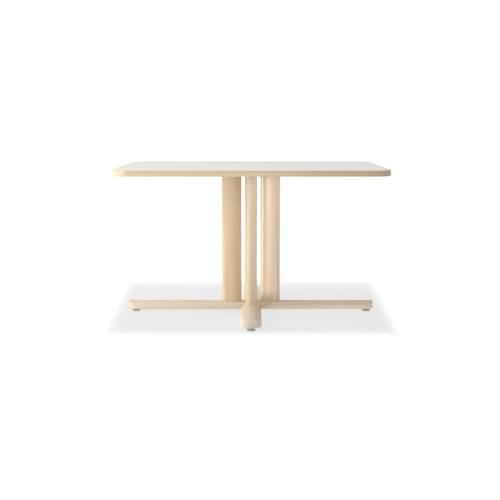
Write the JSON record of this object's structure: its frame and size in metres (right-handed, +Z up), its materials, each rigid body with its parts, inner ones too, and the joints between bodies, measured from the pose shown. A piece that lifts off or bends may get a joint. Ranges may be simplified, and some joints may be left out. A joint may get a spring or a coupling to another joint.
{
  "type": "communion table",
  "caption": "Rectangular table with a pale laminated top, rounded corners and wooden lipping, on oval wooden columns and a cross of round-ended feet with screw glides.",
  "frame": {"origin": "on the floor, under the centre of the top, with the four glide pads standing on z = 0", "axes": "+Z up, X along the top's long side with +X to the right of somebody at the front edge, front edge towards -Y"},
  "size_m": [1.3, 1.074, 0.745],
  "materials": {
    "laminate": "matt high-pressure laminate, warm white",
    "core_board": "raw particle board",
    "backing_laminate": "balancing laminate, plain, matt",
    "lipping_wood": "solid birch, clear matt lacquer",
    "base_wood": "solid and laminated birch, clear matt lacquer",
    "coated_steel": "black powder-coated flat steel",
    "zinc": "zinc-plated steel",
    "glide_plastic": "grey moulded polyamide"
  },
  "bodies": {
    "table_frame": {"laminate_face": "laminate", "core_board": "core_board", "backing_laminate": "backing_laminate", "lipping_right": "lipping_wood", "lipping_rear": "lipping_wood", "lipping_left": "lipping_wood", "lipping_front": "lipping_wood", "lipping_corner_rear_right": "lipping_wood", "lipping_corner_rear_left": "lipping_wood", "lipping_corner_front_left": "lipping_wood", "lipping_corner_front_right": "lipping_wood", "top_plate": "coated_steel", "base_plate": "coated_steel", "foot_right": "base_wood", "column_right": "base_wood", "column_bolt_right_1": "zinc", "column_screw_right_1": "zinc", "top_screw_right_1": "zinc", "column_bolt_right_2": "zinc", "column_screw_right_2": "zinc", "top_screw_right_2": "zinc", "insert_nut_right": "zinc", "foot_rear": "base_wood", "column_rear": "base_wood", "column_bolt_rear_1": "zinc", "column_screw_rear_1": "zinc", "top_screw_rear_1": "zinc", "column_bolt_rear_2": "zinc", "column_screw_rear_2": "zinc", "top_screw_rear_2": "zinc", "insert_nut_rear": "zinc", "foot_left": "base_wood", "column_left": "base_wood", "column_bolt_left_1": "zinc", "column_screw_left_1": "zinc", "top_screw_left_1": "zinc", "column_bolt_left_2": "zinc", "column_screw_left_2": "zinc", "top_screw_left_2": "zinc", "insert_nut_left": "zinc", "foot_front": "base_wood", "column_front": "base_wood", "column_bolt_front_1": "zinc", "column_screw_front_1": "zinc", "top_screw_front_1": "zinc", "column_bolt_front_2": "zinc", "column_screw_front_2": "zinc", "top_screw_front_2": "zinc", "insert_nut_front": "zinc"},
    "glide_pad_right": {"glide_pad_right": "glide_plastic"},
    "glide_pad_rear": {"glide_pad_rear": "glide_plastic"},
    "glide_pad_left": {"glide_pad_left": "glide_plastic"},
    "glide_pad_front": {"glide_pad_front": "glide_plastic"},
    "glide_stem_right": {"glide_stem_right": "zinc"},
    "glide_stem_rear": {"glide_stem_rear": "zinc"},
    "glide_stem_left": {"glide_stem_left": "zinc"},
    "glide_stem_front": {"glide_stem_front": "zinc"}
  },
  "joints": [
    {"name": "level_right", "type": "slide", "parent": "table_frame", "child": "glide_pad_right", "axis": [0, 0, -1], "range_m": [-0.0015, 0.012]},
    {"name": "stem_turn_right", "type": "hinge", "parent": "glide_pad_right", "child": "glide_stem_right", "pos_m": [0.591, 0, 0.02], "axis": [0, 0, -1], "range_deg": [-440, 3470]},
    {"name": "level_rear", "type": "slide", "parent": "table_frame", "child": "glide_pad_rear", "axis": [0, 0, -1], "range_m": [-0.0015, 0.012]},
    {"name": "stem_turn_rear", "type": "hinge", "parent": "glide_pad_rear", "child": "glide_stem_rear", "pos_m": [0, 0.503, 0.02], "axis": [0, 0, -1], "range_deg": [-440, 3470]},
    {"name": "level_left", "type": "slide", "parent": "table_frame", "child": "glide_pad_left", "axis": [0, 0, -1], "range_m": [-0.0015, 0.012]},
    {"name": "stem_turn_left", "type": "hinge", "parent": "glide_pad_left", "child": "glide_stem_left", "pos_m": [-0.591, 0, 0.02], "axis": [0, 0, -1], "range_deg": [-440, 3470]},
    {"name": "level_front", "type": "slide", "parent": "table_frame", "child": "glide_pad_front", "axis": [0, 0, -1], "range_m": [-0.0015, 0.012]},
    {"name": "stem_turn_front", "type": "hinge", "parent": "glide_pad_front", "child": "glide_stem_front", "pos_m": [0, -0.503, 0.02], "axis": [0, 0, -1], "range_deg": [-440, 3470]}
  ],
  "couplings": [
    {"joint": "stem_turn_right", "follows": "level_right", "rad_per_m": 5026.5},
    {"joint": "stem_turn_rear", "follows": "level_rear", "rad_per_m": 5026.5},
    {"joint": "stem_turn_left", "follows": "level_left", "rad_per_m": 5026.5},
    {"joint": "stem_turn_front", "follows": "level_front", "rad_per_m": 5026.5}
  ]
}
